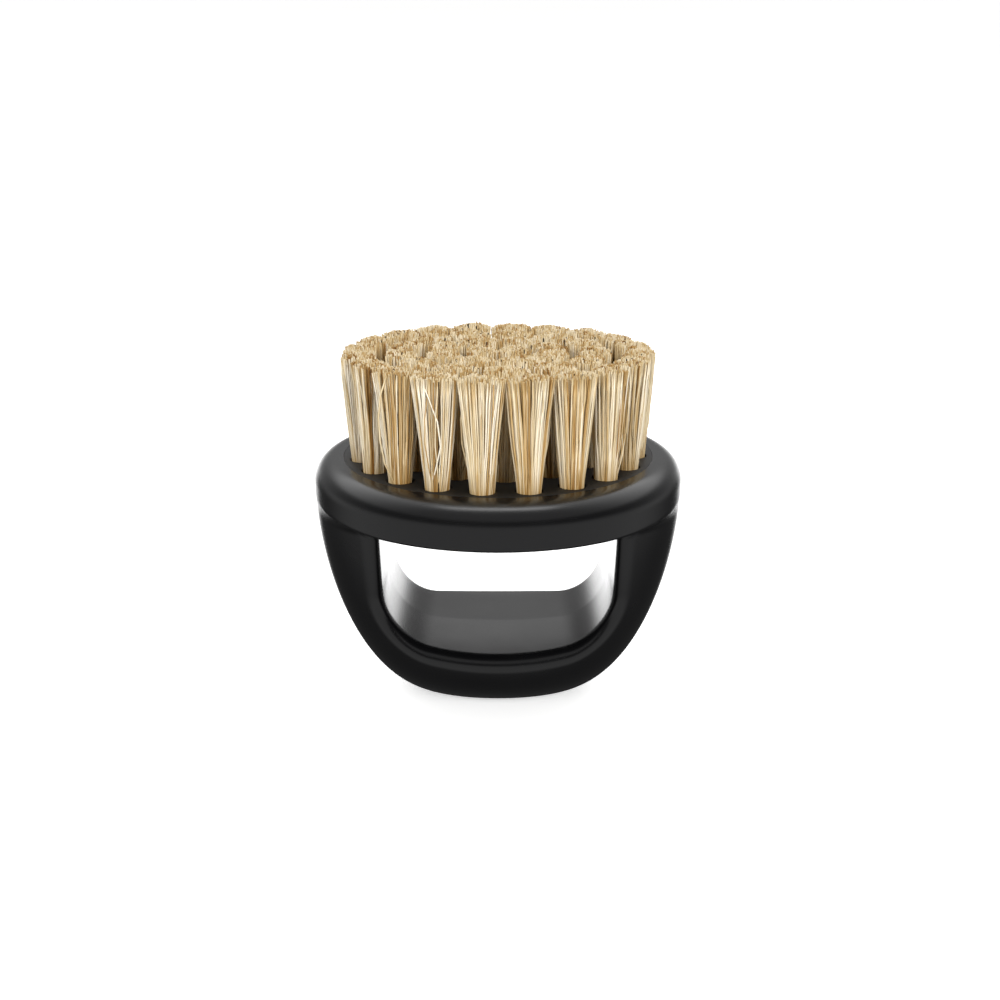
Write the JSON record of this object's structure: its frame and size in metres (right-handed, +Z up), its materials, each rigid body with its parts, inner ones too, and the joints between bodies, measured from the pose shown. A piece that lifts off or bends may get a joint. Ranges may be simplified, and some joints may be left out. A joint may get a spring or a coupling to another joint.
{
  "type": "fade brush",
  "caption": "Round barber's fade brush: a disc head full of pale bristle tufts on a rigid stirrup handle that two fingers pass through.",
  "frame": {"origin": "middle of the flat foot under the stirrup", "axes": "+Z up from the foot to the bristle tips, X from leg to leg of the stirrup, Y along the finger tunnel"},
  "size_m": [0.07, 0.07, 0.07],
  "materials": {
    "handle_plastic": "satin moulded",
    "plate_plastic": "matt moulded",
    "bristle": "natural hair, straight"
  },
  "bodies": {
    "root": {"handle": "handle_plastic", "bristle_plate": "plate_plastic", "outer_tuft_01": "bristle", "outer_tuft_02": "bristle", "outer_tuft_03": "bristle", "outer_tuft_04": "bristle", "outer_tuft_05": "bristle", "outer_tuft_06": "bristle", "outer_tuft_07": "bristle", "outer_tuft_08": "bristle", "outer_tuft_09": "bristle", "outer_tuft_10": "bristle", "outer_tuft_11": "bristle", "outer_tuft_12": "bristle", "outer_tuft_13": "bristle", "outer_tuft_14": "bristle", "outer_tuft_15": "bristle", "outer_tuft_16": "bristle", "outer_tuft_17": "bristle", "outer_tuft_18": "bristle", "outer_tuft_19": "bristle", "outer_tuft_20": "bristle", "middle_tuft_01": "bristle", "middle_tuft_02": "bristle", "middle_tuft_03": "bristle", "middle_tuft_04": "bristle", "middle_tuft_05": "bristle", "middle_tuft_06": "bristle", "middle_tuft_07": "bristle", "middle_tuft_08": "bristle", "middle_tuft_09": "bristle", "middle_tuft_10": "bristle", "middle_tuft_11": "bristle", "middle_tuft_12": "bristle", "middle_tuft_13": "bristle", "inner_tuft_01": "bristle", "inner_tuft_02": "bristle", "inner_tuft_03": "bristle", "inner_tuft_04": "bristle", "inner_tuft_05": "bristle", "inner_tuft_06": "bristle", "inner_tuft_07": "bristle", "inner_tuft_08": "bristle", "centre_tuft_01": "bristle", "centre_tuft_02": "bristle"}
  },
  "joints": []
}
